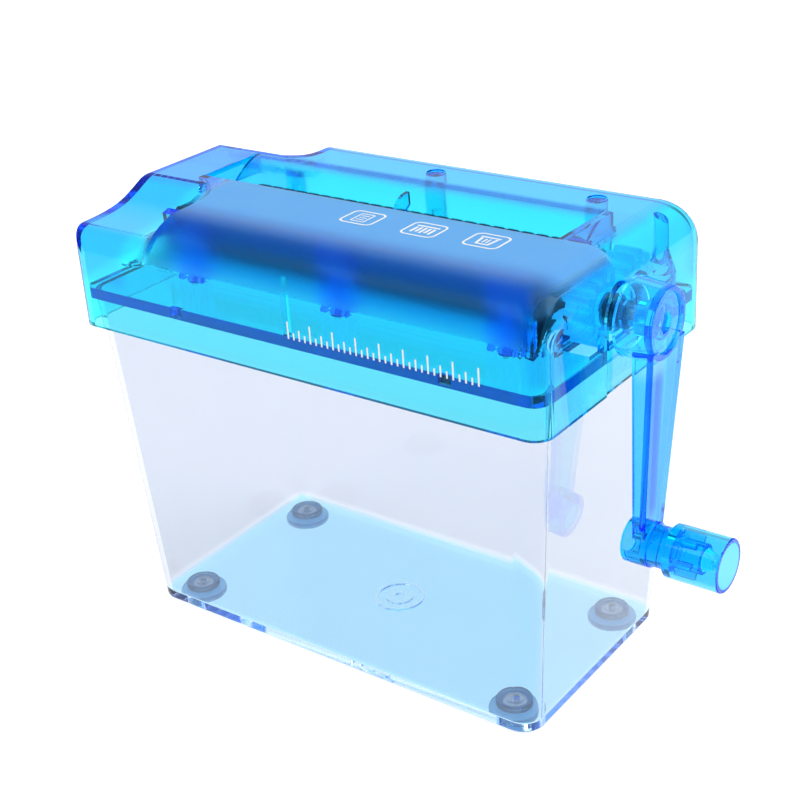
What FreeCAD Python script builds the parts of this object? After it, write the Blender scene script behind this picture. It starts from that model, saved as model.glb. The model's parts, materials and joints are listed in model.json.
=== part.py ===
import FreeCAD, Part
import Sketcher
import math
import os

# Hand-crank mini paper shredder: a clear tapered bin on four rubber feet, and a cutting head that
# lifts off it. The head holds two intermeshing cutter rollers, geared together at the right end and
# turned by a crank. Millimetres, +X towards the crank, +Y to the back, +Z up.
#
# Every piece is laid out with x = 0 and y = 0 at the middle of the bin and z = 0 under the bin's
# floor. origin_x and origin_z then move it so that the origin is under the middle of the whole
# object, on the surface that the feet stand on.

V = FreeCAD.Vector
doc = FreeCAD.newDocument("hand_paper_shredder")

SIZES = [
    # where the layout sits in the object's own frame
    ("origin_x", -16.7),
    ("origin_z", 2.0),
    # top cover
    ("cover_len", 170.0),
    ("cover_dep", 91.3),
    ("cover_top", 140.4),
    ("skirt_bot", 101.6),
    ("cover_wall", 2.0),
    ("front_round", 14.0),
    ("back_round", 8.0),
    ("end_round", 12.0),
    ("corner_round", 6.0),
    ("left_round", 1.2),
    # paper slot in the cover's top
    ("slot_left", -65.4),
    ("slot_right", 64.5),
    ("slot_front", -2.7),
    ("slot_back", 24.8),
    ("hopper_wall", 1.8),
    # scoops at the cover's left end
    ("scoop_floor", 133.0),
    ("scoop_round", 8.0),
    ("scoop_sweep", 11.0),
    ("scoop_end", -48.0),
    ("scoop_top_y", -8.5),
    ("scoop_back_y", 25.0),
    # screw posts of the cover
    ("post_r", 3.2),
    ("post_core_r", 1.15),
    ("post_bot", 114.25),
    ("rear_post_y", 32.0),
    ("rear_post_x", 57.0),
    ("front_post_y", -21.5),
    ("front_post_left", -54.5),
    ("front_post_mid", 2.2),
    ("front_post_right", 60.1),
    ("post_rib_in", 3.05),
    ("post_rib_out", 4.95),
    ("post_rib_front", -24.6),
    # wall between the front chamber and the rollers
    ("inner_wall_front", -20.7),
    ("inner_wall_back", -19.4),
    # base tray
    ("tray_len", 165.5),
    ("tray_dep", 86.8),
    ("tray_bot", 110.7),
    ("tray_top", 114.1),
    ("tongue_r", 8.3),
    ("tongue_bot", 102.2),
    ("tongue_in", 82.95),
    ("tongue_out", 84.95),
    # bin
    ("bin_len", 149.8),
    ("bin_dep", 77.9),
    ("bin_corner", 7.0),
    ("rim_len", 164.4),
    ("rim_dep", 86.0),
    ("rim_corner", 8.5),
    ("bin_tall", 110.4),
    ("bin_wall", 1.9),
    ("bin_floor", 2.2),
    ("bin_edge", 0.7),
    # feet
    ("foot_x", 63.0),
    ("foot_y", 28.25),
    ("foot_flange_r", 7.8),
    ("foot_neck_r", 3.5),
    ("foot_hole_r", 3.6),
    ("foot_head_r", 5.6),
    ("foot_head_thick", 1.7),
    ("foot_eye_r", 1.1),
    # rollers
    ("front_y", -4.0),
    ("rear_y", 14.0),
    ("axis_z", 123.0),
    ("hex_af", 5.0),
    ("hex_bore_af", 5.06),
    ("disc_r", 9.8),
    ("disc_thick", 2.2),
    ("disc_pitch", 5.0),
    ("spacer_r", 5.9),
    ("spacer_gap", 0.03),
    ("front_first", -60.0),
    ("front_discs", 25),
    ("rear_first", -57.5),
    ("rear_discs", 24),
    ("stack_end", 64.9),
    ("shaft_left", -75.0),
    ("front_shaft_right", 93.5),
    ("rear_shaft_right", 81.6),
    ("groove_r", 2.3),
    ("clip_bore_r", 2.35),
    ("clip_r", 4.6),
    ("clip_thick", 0.8),
    ("clip_left_x", -73.6),
    ("clip_right_x", 79.2),
    # end plates and bushes
    ("right_plate_in", 66.5),
    ("right_plate_out", 69.5),
    ("left_plate_in", -66.5),
    ("left_plate_out", -72.0),
    ("plate_bot", 112.8),
    ("plate_top", 130.2),
    ("bush_r", 4.0),
    ("bush_hole_r", 4.05),
    ("bush_flange_r", 5.2),
    # gears
    ("gear_teeth", 12),
    ("gear_module", 1.5),
    ("gear_left", 70.7),
    ("gear_wide", 8.2),
    # crank
    ("throw", 69.0),
    ("hub_rear", 88.0),
    ("hub_face", 98.8),
    ("hub_rear_r", 11.3),
    ("hub_face_r", 10.1),
    ("socket_r", 5.0),
    ("arm_web", 2.3),
    ("boss_r", 6.8),
    ("boss_rear", 88.1),
    ("neck_r", 6.2),
    ("neck_end", 101.2),
    ("pin_r", 3.0),
    ("pin_end", 112.0),
    # knob
    ("knob_rear", 101.5),
    ("knob_open", 118.4),
    ("knob_r", 8.0),
    ("knob_wall", 1.3),
    ("knob_bore_r", 3.05),
    ("knob_tube_r", 4.6),
    ("knob_tube_end", 111.6),
    # screws
    ("screw_r", 1.05),
    ("screw_head_r", 2.6),
    ("screw_head_thick", 1.3),
    ("screw_len", 13.0),
]

sheet = doc.addObject("Spreadsheet::Sheet", "Dims")
for row, (alias, value) in enumerate(SIZES, 1):
    sheet.set("B%d" % row, str(value))
    sheet.setAlias("B%d" % row, alias)
doc.recompute()


class Size:
    """A number together with the sheet formula that gives it."""

    def __init__(self, value, text=None):
        self.value = float(value)
        self.text = text if text is not None else "%.6f" % float(value)

    def __float__(self):
        return self.value

    def __neg__(self):
        return Size(-self.value, "(-%s)" % self.text)

    def __add__(self, other):
        other = size(other)
        return Size(self.value + other.value, "(%s + %s)" % (self.text, other.text))

    __radd__ = __add__

    def __sub__(self, other):
        other = size(other)
        return Size(self.value - other.value, "(%s - %s)" % (self.text, other.text))

    def __rsub__(self, other):
        return size(other) - self

    def __mul__(self, other):
        other = size(other)
        return Size(self.value * other.value, "(%s * %s)" % (self.text, other.text))

    __rmul__ = __mul__

    def __truediv__(self, other):
        other = size(other)
        return Size(self.value / other.value, "(%s / %s)" % (self.text, other.text))


def size(value):
    return value if isinstance(value, Size) else Size(value)


class Sheet:
    pass


d = Sheet()
for alias, value in SIZES:
    setattr(d, alias, Size(sheet.get(alias), "Dims." + alias))

ALONG_X = FreeCAD.Rotation(V(0, 1, 0), 90)


def bind(obj, prop, value):
    obj.setExpression(prop, size(value).text)


def put(obj, x, y, z):
    bind(obj, "Placement.Base.x", x)
    bind(obj, "Placement.Base.y", y)
    bind(obj, "Placement.Base.z", z)


def box(name, x0, x1, y0, y1, z0, z1):
    o = doc.addObject("Part::Box", name)
    bind(o, "Length", size(x1) - x0)
    bind(o, "Width", size(y1) - y0)
    bind(o, "Height", size(z1) - z0)
    put(o, x0, y0, z0)
    return o


def rod(name, r, x0, x1, y, z):
    """A cylinder along X."""
    o = doc.addObject("Part::Cylinder", name)
    o.Placement = FreeCAD.Placement(V(0, 0, 0), ALONG_X)
    bind(o, "Radius", r)
    bind(o, "Height", size(x1) - x0)
    put(o, x0, y, z)
    return o


def post(name, r, x, y, z0, z1):
    """A cylinder along Z."""
    o = doc.addObject("Part::Cylinder", name)
    bind(o, "Radius", r)
    bind(o, "Height", size(z1) - z0)
    put(o, x, y, z0)
    return o


def cone(name, r0, r1, x0, x1, y, z):
    """A cone along X, radius r0 at x0 and r1 at x1."""
    o = doc.addObject("Part::Cone", name)
    o.Placement = FreeCAD.Placement(V(0, 0, 0), ALONG_X)
    bind(o, "Radius1", r0)
    bind(o, "Radius2", r1)
    bind(o, "Height", size(x1) - x0)
    put(o, x0, y, z)
    return o


def cone_up(name, r0, r1, x, y, z0, z1):
    o = doc.addObject("Part::Cone", name)
    bind(o, "Radius1", r0)
    bind(o, "Radius2", r1)
    bind(o, "Height", size(z1) - z0)
    put(o, x, y, z0)
    return o


def hexagon(name, across, x0, x1, y, z):
    """A hexagonal bar along X, with a flat on top."""
    o = doc.addObject("Part::Prism", name)
    o.Polygon = 6
    o.Placement = FreeCAD.Placement(V(0, 0, 0), ALONG_X.multiply(FreeCAD.Rotation(V(0, 0, 1), 30)))
    bind(o, "Circumradius", size(across) / math.sqrt(3))
    bind(o, "Height", size(x1) - x0)
    put(o, x0, y, z)
    return o


def slab(name, outline, x0, x1):
    """A flat outline in Y and Z, as thick as x0 to x1."""
    line = doc.addObject("Part::Polygon", name + "_outline")
    line.Nodes = [V(float(x0), float(y), float(z)) for y, z in outline]
    line.Close = True
    o = doc.addObject("Part::Extrusion", name)
    o.Base = line
    o.DirMode = "Custom"
    o.Dir = V(1, 0, 0)
    bind(o, "LengthFwd", size(x1) - x0)
    o.Solid = True
    return o


def fuse(name, objects):
    o = doc.addObject("Part::MultiFuse", name)
    o.Shapes = list(objects)
    o.Refine = True
    return o


def common(name, objects):
    o = doc.addObject("Part::MultiCommon", name)
    o.Shapes = list(objects)
    o.Refine = True
    return o


def cut(name, base, tool):
    o = doc.addObject("Part::Cut", name)
    o.Base = base
    o.Tool = tool
    o.Refine = True
    return o


def bundle(name, objects):
    o = doc.addObject("Part::Compound", name)
    o.Links = list(objects)
    return o


def rounded(name, base, wanted):
    """Rounds the edges of base that wanted gives a radius."""
    doc.recompute()
    edges = []
    for i, edge in enumerate(base.Shape.Edges, 1):
        r = wanted(edge)
        if r:
            edges.append((i, float(r), float(r)))
    if not edges:
        raise ValueError("no edge to round on " + name)
    o = doc.addObject("Part::Fillet", name)
    o.Base = base
    o.Edges = edges
    doc.recompute()
    return o


def middle(edge):
    a, b = edge.ParameterRange
    return edge.valueAt((a + b) / 2)


def runs(edge, axis):
    """True for a straight edge along the axis named by its number."""
    if edge.Curve.TypeId != "Part::GeomLine":
        return False
    t = edge.Curve.Direction
    return abs(abs((t.x, t.y, t.z)[axis]) - 1) < 1e-6


def near(a, b, tol=1e-3):
    return abs(float(a) - float(b)) < tol


PIECES = []


def piece(obj, label):
    obj.Label = label
    bind(obj, "Placement.Base.x", d.origin_x)
    bind(obj, "Placement.Base.z", d.origin_z)
    PIECES.append(obj)
    return obj


# ---------------------------------------------------------------- sketches for bodies
def body_named(name):
    return doc.addObject("PartDesign::Body", name)


def sketch(body, name, role, offset=None):
    s = body.newObject("Sketcher::SketchObject", name)
    plane = [f for f in body.Origin.OriginFeatures if f.Role == role][0]
    s.AttachmentSupport = [(plane, "")]
    s.MapMode = "FlatFace"
    if offset is not None:
        bind(s, "AttachmentOffset.Base.z", offset)
    return s


def dimension(s, kind, *where_and_value):
    *where, value = where_and_value
    n = s.addConstraint(Sketcher.Constraint(kind, *where, float(value)))
    s.setExpression("Constraints[%d]" % n, size(value).text)


def rectangle(s, x0, x1, y0, y1):
    p = [V(float(x), float(y), 0) for x, y in ((x0, y0), (x1, y0), (x1, y1), (x0, y1))]
    n = [s.addGeometry(Part.LineSegment(p[k], p[(k + 1) % 4]), False) for k in range(4)]
    for k in range(4):
        s.addConstraint(Sketcher.Constraint("Coincident", n[k], 2, n[(k + 1) % 4], 1))
    for k in (0, 2):
        s.addConstraint(Sketcher.Constraint("Horizontal", n[k]))
    for k in (1, 3):
        s.addConstraint(Sketcher.Constraint("Vertical", n[k]))
    dimension(s, "DistanceX", -1, 1, n[0], 1, size(x0))
    dimension(s, "DistanceX", -1, 1, n[1], 1, size(x1))
    dimension(s, "DistanceY", -1, 1, n[0], 1, size(y0))
    dimension(s, "DistanceY", -1, 1, n[2], 1, size(y1))


# ---------------------------------------------------------------- waste bin
def tapered(name, low, high, half_x0, half_y0, half_x1, half_y1, corner, foot):
    """A block that widens upwards, with rounded upright edges and a rounded bottom edge."""
    o = doc.addObject("Part::Wedge", name)
    o.Placement = FreeCAD.Placement(V(0, 0, 0), FreeCAD.Rotation(V(1, 0, 0), 90))
    for prop, value in (
        ("Ymin", low),
        ("Ymax", high),
        ("Xmin", -half_x0),
        ("Xmax", half_x0),
        ("Zmin", -half_y0),
        ("Zmax", half_y0),
        ("X2min", -half_x1),
        ("X2max", half_x1),
        ("Z2min", -half_y1),
        ("Z2max", half_y1),
    ):
        bind(o, prop, value)
    upright = rounded(
        name + "_corners", o, lambda e: corner if abs(e.Vertexes[0].Z - e.Vertexes[-1].Z) > 20 else 0
    )
    return rounded(
        name + "_foot", upright, lambda e: foot if all(near(v.Z, low) for v in e.Vertexes) else 0
    )


def bin_half(at_floor, at_rim, z):
    return (at_floor + (at_rim - at_floor) * (z / d.bin_tall)) / 2


bin_outside = tapered(
    "bin_outside",
    Size(0),
    d.bin_tall,
    d.bin_len / 2,
    d.bin_dep / 2,
    d.rim_len / 2,
    d.rim_dep / 2,
    d.bin_corner,
    d.bin_edge,
)
above = d.bin_tall + 2
bin_inside = tapered(
    "bin_inside",
    d.bin_floor,
    above,
    bin_half(d.bin_len, d.rim_len, d.bin_floor) - d.bin_wall,
    bin_half(d.bin_dep, d.rim_dep, d.bin_floor) - d.bin_wall,
    bin_half(d.bin_len, d.rim_len, above) - d.bin_wall,
    bin_half(d.bin_dep, d.rim_dep, above) - d.bin_wall,
    d.bin_corner - d.bin_wall,
    0.8,
)
bin_shell = cut("bin_shell", bin_outside, bin_inside)
# raised rings where the plastic flowed in, in the middle of the floor
floor_low = d.bin_floor - 0.5
gate_ring = cut(
    "gate_ring",
    post("gate_ring_out", 8.4, 0, 0, floor_low, d.bin_floor + 0.7),
    post("gate_ring_in", 7.2, 0, 0, floor_low - 1, d.bin_floor + 2),
)
gate_button = cut(
    "gate_button",
    post("gate_button_out", 4.6, 0, 0, floor_low, d.bin_floor + 0.5),
    post("gate_button_in", 1.6, 0, 0, floor_low - 1, d.bin_floor + 2),
)
bin_ringed = fuse("bin_ringed", [bin_shell, gate_ring, gate_button])
# holes for the necks of the feet
foot_holes = []
for k, (sx, sy) in enumerate(((-1, -1), (1, -1), (1, 1), (-1, 1))):
    foot_holes.append(post("foot_hole%d" % k, d.foot_hole_r, sx * d.foot_x, sy * d.foot_y, -3, d.bin_floor + 3))
piece(cut("WasteBin", bin_ringed, fuse("foot_holes", foot_holes)), "waste_bin")

# ---------------------------------------------------------------- rubber feet
feet = []
for k, (sx, sy) in enumerate(((-1, -1), (1, -1), (1, 1), (-1, 1))):
    x, y = sx * d.foot_x, sy * d.foot_y
    tag = "foot%d_" % k
    flange = post(tag + "flange", d.foot_flange_r, x, y, -d.origin_z, -0.02)
    soft = rounded(
        tag + "flange_round",
        flange,
        lambda e: 0.6 if e.Curve.TypeId == "Part::GeomCircle" else 0,
    )
    neck = post(tag + "neck", d.foot_neck_r, x, y, -0.3, d.bin_floor + 0.3)
    head = post(tag + "head", d.foot_head_r, x, y, d.bin_floor + 0.02, d.bin_floor + d.foot_head_thick)
    top = d.bin_floor + d.foot_head_thick
    soft_head = rounded(
        tag + "head_round",
        head,
        lambda e: 0.5 if e.Curve.TypeId == "Part::GeomCircle" and near(middle(e).z, top) else 0,
    )
    eye = post(tag + "eye", d.foot_eye_r, x, y, 0.6, d.bin_floor + 4)
    dish = cut(
        tag + "dish",
        post(tag + "dish_out", 4.3, x, y, top - 0.45, top + 1),
        post(tag + "dish_in", 2.5, x, y, top - 1, top + 2),
    )
    whole = fuse(tag + "whole", [soft, neck, soft_head])
    feet.append(cut(tag + "bored", cut(tag + "dished", whole, dish), eye))
piece(bundle("RubberFeet", feet), "rubber_feet")


# ---------------------------------------------------------------- top cover
def cover_block(tag, inset, low):
    """The cover's outer form, brought in by inset on every side but its foot."""
    half_x = d.cover_len / 2 - inset
    half_y = d.cover_dep / 2 - inset
    high = d.cover_top - inset

    # the roundings of the long edges, the ends and the corners run into one another
    def wanted(edge):
        at_top = near(middle(edge).z, high)
        if runs(edge, 0) and at_top:
            return (d.front_round if middle(edge).y < 0 else d.back_round) - inset
        if runs(edge, 1) and at_top:
            if middle(edge).x > 0:
                return d.end_round - inset
            return d.left_round if inset == 0 else 0
        return (d.corner_round - inset) if runs(edge, 2) else 0

    return rounded(tag + "_round", box(tag, -half_x, half_x, -half_y, half_y, low, high), wanted)


def scoop_curve(back, inset):
    """Points of the scoop's floor from its shoulder up to the cover's top, moved into the plastic by inset."""
    base = [
        (-37.65, 133.0),
        (-33.0, 133.15),
        (-28.0, 133.6),
        (-23.5, 134.4),
        (-19.5, 135.7),
        (-16.0, 137.3),
        (-13.0, 138.8),
        (-10.8, 139.8),
        (-8.5, 140.4),
        (-6.0, 140.75),
    ]
    raise_ = float(d.scoop_floor) - 133.0
    pts = [(y + float(d.scoop_top_y) + 8.5, z + raise_) for y, z in base]
    if back:
        k = (45.65 - 8.0 - float(d.scoop_back_y)) / (37.65 - 8.5)
        pts = [(float(d.scoop_back_y) - (y - float(d.scoop_top_y)) * k, z) for y, z in pts]
    out = []
    for i, (y, z) in enumerate(pts):
        y0, z0 = pts[max(i - 1, 0)]
        y1, z1 = pts[min(i + 1, len(pts) - 1)]
        ty, tz = y1 - y0, z1 - z0
        n = math.hypot(ty, tz)
        side = -1 if back else 1
        out.append((y + side * tz / n * inset, z - side * ty / n * inset))
    return out


def scoop_section(x, lift, back, inset):
    """A closed outline at x: everything above the scoop's floor, raised by lift."""
    side = 1 if back else -1
    half = float(d.cover_dep) / 2
    r = float(d.scoop_round) - inset
    yc = side * (half - float(d.scoop_round))
    zc = float(d.scoop_floor) - float(d.scoop_round) + lift
    pts = [(y, z + lift) for y, z in scoop_curve(back, inset)]
    pts[0] = (yc, zc + r)
    far = side * (half + 12)
    arc_mid = (yc + side * r * math.sqrt(0.5), zc + r * math.sqrt(0.5))
    p = lambda y, z: V(x, y, z)
    arc = Part.Arc(p(yc + side * r, zc), p(*arc_mid), p(*pts[0])).toShape()
    floor = Part.BSplineCurve()
    floor.interpolate([p(y, z) for y, z in pts])
    end = pts[-1]
    edges = [
        Part.makeLine(p(far, zc), p(yc + side * r, zc)),
        arc,
        floor.toShape(),
        Part.makeLine(p(*end), p(end[0], 175)),
        Part.makeLine(p(end[0], 175), p(far, 175)),
        Part.makeLine(p(far, 175), p(far, zc)),
    ]
    return Part.Wire(edges)


def scoop_tool(name, back, inset):
    """What the scoop takes out of the cover, swept up at its inner end."""
    sweep = float(d.scoop_sweep) - (2.0 if back else 0.0) + inset
    start = float(d.scoop_end) - float(d.scoop_sweep) + (2.0 if back else 0.0)
    straight = Part.Face(scoop_section(-95.0, 0.0, back, inset)).extrude(V(start + 95.0, 0, 0))
    wires = []
    for degrees in (0, 12, 24, 36, 48, 60, 71, 80, 86):
        a = math.radians(degrees)
        wires.append(
            scoop_section(start + sweep * math.sin(a), sweep * (1 - math.cos(a)), back, inset)
        )
    swept = Part.makeLoft(wires, True, False)
    o = doc.addObject("Part::Feature", name)
    o.Shape = straight.fuse(swept)
    o.Placement = FreeCAD.Placement()
    return o


cover_outer = cover_block("cover_outer", 0, d.skirt_bot)
cover_inner = cover_block("cover_inner", d.cover_wall, d.skirt_bot - 5)
for k, back in enumerate((False, True)):
    cover_outer = cut("cover_outer_scooped%d" % k, cover_outer, scoop_tool("scoop_out%d" % k, back, 0.0))
    cover_inner = cut(
        "cover_inner_scooped%d" % k,
        cover_inner,
        scoop_tool("scoop_in%d" % k, back, float(d.cover_wall)),
    )
shell = cut("cover_shell", cover_outer, cover_inner)
slot = box(
    "slot_hole", d.slot_left, d.slot_right, d.slot_front, d.slot_back, d.cover_top - 6, d.cover_top + 6
)
shell = cut("cover_slotted", shell, slot)

w = d.hopper_wall
hopper_front = slab(
    "hopper_front",
    [
        (d.slot_front, d.cover_top),
        (1.7, 133.5),
        (0.1, 133.0),
        (d.slot_front - 2.2, d.cover_top - 0.6),
    ],
    d.slot_left - w,
    d.slot_right + w,
)


def hopper_back_line(thick_top, thick_end):
    """The slot's back wall in Y and Z: level with the cover's top at its rear, then ever steeper down to the throat."""
    start, end, steps = float(d.slot_back), 10.8, 24
    y, z = start, float(d.cover_top)
    step = (start - end) / steps
    pts = []
    for k in range(steps + 1):
        a = math.radians(min(36.0 * (start - y) / 11.0, 36.0))
        t = thick_top + (thick_end - thick_top) * k / steps
        pts.append((y + t * math.sin(a), z - t * math.cos(a)))
        b = math.radians(min(36.0 * (start - y + step / 2) / 11.0, 36.0))
        y, z = y - step, z - step * math.tan(b)
    return pts


def curve_through(pts, x):
    c = Part.BSplineCurve()
    c.interpolate([V(x, y, z) for y, z in pts])
    return c.toShape()


hopper_x0, hopper_x1 = float(d.slot_left - w), float(d.slot_right + w)
back_top, back_low = hopper_back_line(0.0, 0.0), hopper_back_line(float(d.cover_wall), 1.3)
back_face = Part.Face(
    Part.Wire(
        [
            curve_through(back_top, hopper_x0),
            Part.makeLine(V(hopper_x0, *back_top[-1]), V(hopper_x0, *back_low[-1])),
            curve_through(back_low[::-1], hopper_x0),
            Part.makeLine(V(hopper_x0, *back_low[0]), V(hopper_x0, *back_top[0])),
        ]
    )
)
hopper_back = doc.addObject("Part::Feature", "hopper_back")
hopper_back.Shape = back_face.extrude(V(hopper_x1 - hopper_x0, 0, 0))
hopper_back.Placement = FreeCAD.Placement()
hopper_left = box(
    "hopper_left", d.slot_left - w, d.slot_left, d.slot_front - 1, d.slot_back, 133.6, d.cover_top
)
hopper_right = box(
    "hopper_right", d.slot_right, d.slot_right + w, d.slot_front - 1, d.slot_back, 133.6, d.cover_top
)
hopper_fin = slab(
    "hopper_fin",
    [
        (13.0, 140.2),
        (10.4, 140.0),
        (8.4, 139.3),
        (6.9, 138.1),
        (5.9, 136.6),
        (6.3, 135.3),
        (8.4, 134.6),
        (11.6, 134.4),
        (13.2, 135.2),
    ],
    2.3,
    3.5,
)

post_places = [
    (-d.rear_post_x, d.rear_post_y),
    (Size(0), d.rear_post_y),
    (d.rear_post_x, d.rear_post_y),
    (d.front_post_left, d.front_post_y),
    (d.front_post_mid, d.front_post_y),
    (d.front_post_right, d.front_post_y),
]
solid_posts, cores, dimples = [], [], []
for k, (x, y) in enumerate(post_places):
    solid_posts.append(post("post%d" % k, d.post_r, x, y, d.post_bot, d.cover_top))
    cores.append(post("core%d" % k, d.post_core_r, x, y, d.post_bot - 1, d.post_bot + 14.5))
    if float(y) > 0 and float(x) > -1:
        dimples.append(post("dimple%d" % k, 2.9, x, y, d.cover_top - 0.5, d.cover_top + 2))
# the bottle-shaped post behind the gears
bottle = fuse(
    "bottle_post",
    [
        post("bottle_neck", 2.0, 77.6, 31.0, 126.0, d.cover_top),
        cone_up("bottle_shoulder", 3.9, 2.0, 77.6, 31.0, 122.0, 128.5),
        post("bottle_foot", 3.9, 77.6, 31.0, d.post_bot, 122.05),
    ],
)
front_rib = box("front_rib", -0.8, 0.8, -d.cover_dep / 2 + 1, -d.cover_dep / 2 + 3.6, 114.4, 131.6)
# the front posts stand in a wall in front of the rollers, each between two ribs
inner_wall = [
    box(
        "inner_wall",
        d.left_plate_in + 0.3,
        d.right_plate_in - 0.3,
        d.inner_wall_front,
        d.inner_wall_back,
        d.post_bot,
        d.cover_top,
    ),
    box(
        "inner_wall_left_end",
        d.left_plate_in + 0.3,
        d.front_post_left - d.post_rib_out,
        d.inner_wall_front - 1.5,
        d.inner_wall_back,
        d.post_bot + 0.6,
        d.cover_top,
    ),
]
for k, x in enumerate((d.front_post_left, d.front_post_mid, d.front_post_right)):
    for side, x0, x1 in (
        ("left", x - d.post_rib_out, x - d.post_rib_in),
        ("right", x + d.post_rib_in, x + d.post_rib_out),
    ):
        inner_wall.append(
            box(
                "post_rib_%s%d" % (side, k),
                x0,
                x1,
                d.post_rib_front,
                d.inner_wall_back,
                d.post_bot,
                d.cover_top,
            )
        )
inside_parts = common(
    "cover_inside_parts",
    [cover_outer, fuse("cover_inside_all", solid_posts + [bottle, front_rib] + inner_wall)],
)
cover = fuse(
    "cover_filled",
    [shell, hopper_front, hopper_back, hopper_left, hopper_right, hopper_fin, inside_parts],
)
u_slot = fuse(
    "u_slot",
    [
        box(
            "u_slot_leg",
            d.cover_len / 2 - 6,
            d.cover_len / 2 + 6,
            d.front_y - d.tongue_r - 0.2,
            d.front_y + d.tongue_r + 0.2,
            d.skirt_bot - 6,
            d.axis_z,
        ),
        rod(
            "u_slot_arch", d.tongue_r + 0.2, d.cover_len / 2 - 6, d.cover_len / 2 + 6, d.front_y, d.axis_z
        ),
    ],
)
cover = cut("cover_u_slotted", cover, u_slot)
cover = cut("TopCover", cover, fuse("cover_bores", cores + dimples))
piece(cover, "top_cover")

# ---------------------------------------------------------------- base tray
plate = rounded(
    "tray_plate_round",
    box(
        "tray_plate",
        -d.tray_len / 2,
        d.tray_len / 2,
        -d.tray_dep / 2,
        d.tray_dep / 2,
        d.tray_bot,
        d.tray_top,
    ),
    lambda e: (d.corner_round - d.cover_wall - 0.25) if runs(e, 2) else 0,
)
tongue_y0, tongue_y1 = d.front_y - d.tongue_r, d.front_y + d.tongue_r
tongue = fuse(
    "tray_tongue",
    [
        box("tongue_leg", d.tongue_in, d.tongue_out, tongue_y0, tongue_y1, d.tongue_bot, d.axis_z),
        rod("tongue_arch", d.tongue_r, d.tongue_in, d.tongue_out, d.front_y, d.axis_z),
        box("tongue_tab", 80.0, d.tongue_out, tongue_y0, tongue_y1, d.tray_bot, d.tray_top),
        box("tongue_rib_front", 80.8, d.tongue_in + 0.2, -12.3, -9.8, d.tray_top - 0.5, 121.0),
        box("tongue_rib_back", 80.8, d.tongue_in + 0.2, 1.8, 4.3, d.tray_top - 0.5, 121.0),
    ],
)
tray = fuse("tray_solid", [plate, tongue])
# gussets beside the gear well
gusset = slab("tray_gusset_front", [(-21.0, d.tray_top - 0.5), (-17.2, d.tray_top - 0.5), (-17.2, 120.5)], 71.0, 73.0)
gusset_back = slab("tray_gusset_back", [(31.0, d.tray_top - 0.5), (27.2, d.tray_top - 0.5), (27.2, 120.5)], 71.0, 73.0)
# the lug that stops the right end plate at its front
lug = box("tray_plate_lug", 65.4, 69.6, -24.8, -21.95, d.tray_top - 0.5, 124.6)
tray = fuse("tray_ribbed", [tray, gusset, gusset_back, lug])
openings = [
    box("chute", -64.4, 64.4, -13.2, 23.4, d.tray_bot - 8, d.tray_top + 4),
    box("gear_well", 70.1, 80.2, -15.6, 25.6, d.tray_bot - 8, d.tray_top + 4),
    box("plate_seat_right", d.right_plate_in - 0.1, d.right_plate_out + 0.1, -21.7, 31.7, 112.7, d.tray_top + 4),
    box("plate_seat_left", d.left_plate_out - 0.1, d.left_plate_in + 0.1, -21.7, 31.7, 112.7, d.tray_top + 4),
    rod("tongue_bore", d.bush_hole_r, d.tongue_in - 2, d.tongue_out + 2, d.front_y, d.axis_z),
    box("rim_notch_left", -45.6, -41.2, -45.0, -41.9, d.tray_bot + 0.4, d.tray_top + 2),
    box("rim_notch_right", 51.8, 56.2, -45.0, -41.9, d.tray_bot + 0.4, d.tray_top + 2),
]
for k, (x, y) in enumerate(post_places):
    openings.append(post("tray_screw_hole%d" % k, 1.4, x, y, d.tray_bot - 1, d.tray_top + 1))
    openings.append(
        post("tray_screw_seat%d" % k, d.screw_head_r + 0.2, x, y, d.tray_bot - 1, d.tray_bot + 1.5)
    )
tray = cut("BaseTray", tray, fuse("tray_openings", openings))
piece(tray, "base_tray")

# ---------------------------------------------------------------- cover screws
screws = []
for k, (x, y) in enumerate(post_places):
    seat = d.tray_bot + 1.48
    head = post("screw_head%d" % k, d.screw_head_r, x, y, seat - d.screw_head_thick, seat)
    shank = post("screw_shank%d" % k, d.screw_r, x, y, seat - 0.4, seat + d.screw_len)
    low = seat - d.screw_head_thick
    cross = fuse(
        "screw_cross%d" % k,
        [
            box("screw_cross_a%d" % k, x - 1.5, x + 1.5, y - 0.3, y + 0.3, low - 1, low + 0.7),
            box("screw_cross_b%d" % k, x - 0.3, x + 0.3, y - 1.5, y + 1.5, low - 1, low + 0.7),
        ],
    )
    screws.append(cut("screw%d" % k, fuse("screw_blank%d" % k, [head, shank]), cross))
piece(bundle("CoverScrews", screws), "cover_screws")


# ---------------------------------------------------------------- end plates
def end_plate(name, label, x0, x1):
    mid = (float(d.front_y) + float(d.rear_y)) / 2
    half = [(26.4, d.plate_bot), (26.4, 114.4), (22.8, 120.4), (19.2, 127.0), (14.2, d.plate_top)]
    front = [(mid - y, z) for y, z in half]
    back = [(mid + y, z) for y, z in reversed(half)]
    blank = slab(name + "_blank", front + back, x0, x1)
    soft = rounded(
        name + "_round",
        blank,
        lambda e: 3.0 if runs(e, 0) and middle(e).z > 126 else 0,
    )
    bores = fuse(
        name + "_bores",
        [
            rod(name + "_bore_front", d.bush_hole_r, size(x0) - 1, size(x1) + 1, d.front_y, d.axis_z),
            rod(name + "_bore_rear", d.bush_hole_r, size(x0) - 1, size(x1) + 1, d.rear_y, d.axis_z),
        ],
    )
    piece(cut(name, soft, bores), label)


end_plate("RightEndPlate", "right_end_plate", d.right_plate_in, d.right_plate_out)
end_plate("LeftEndPlate", "left_end_plate", d.left_plate_out, d.left_plate_in)

# ---------------------------------------------------------------- stripper combs


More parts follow.
